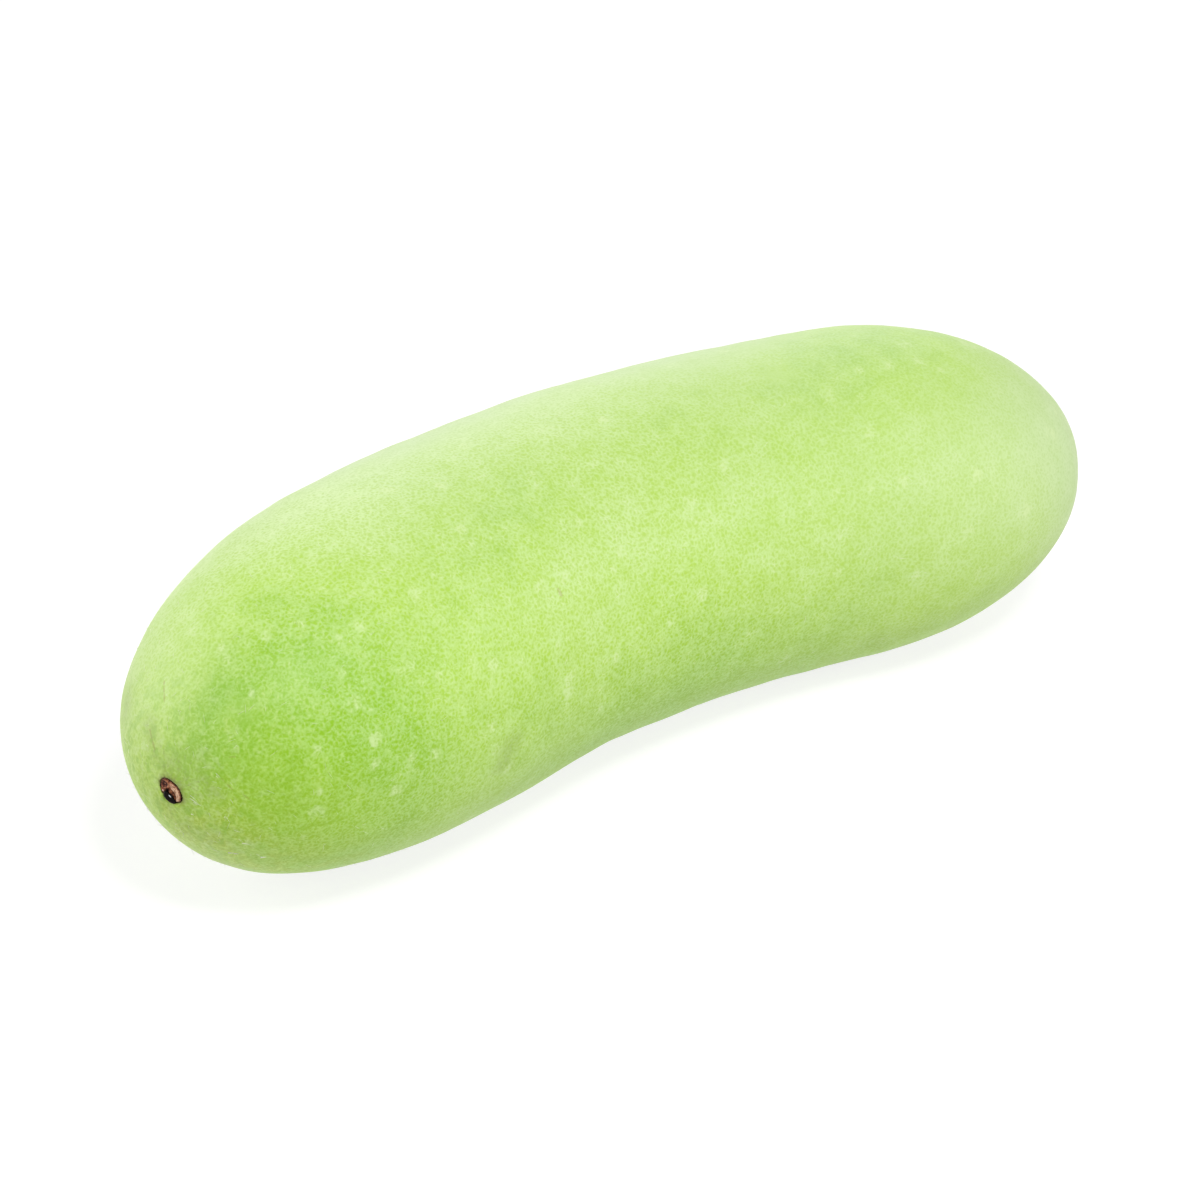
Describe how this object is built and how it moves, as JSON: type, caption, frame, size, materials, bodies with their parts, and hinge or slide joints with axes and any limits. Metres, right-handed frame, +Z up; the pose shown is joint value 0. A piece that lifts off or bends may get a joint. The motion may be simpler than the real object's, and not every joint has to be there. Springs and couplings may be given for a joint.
{
  "type": "wax gourd",
  "caption": "Whole light green wax gourd as picked, a long blunt-ended fruit bent to one side, lying down, with a short dry stem stub at its narrower end.",
  "frame": {"origin": "under the middle of the bounding box, on the surface that the fruit rests on", "axes": "+X from the stem end to the blossom end, +Z up, with the hollow side of the bend towards -Y"},
  "size_m": [0.3024, 0.1098, 0.0974],
  "materials": {
    "skin": "light green rind, a fine pale net over darker green cells, with paler stars, a faint waxy sheen and a few short bristles",
    "stub": "dry fibrous stem tissue, copper brown and ridged",
    "sap": "dried sap, nearly black and glossy",
    "bristle": "short pale plant hairs"
  },
  "bodies": {
    "root": {"fruit": "skin", "stem_stub": "stub", "dried_sap": "sap"}
  },
  "joints": []
}
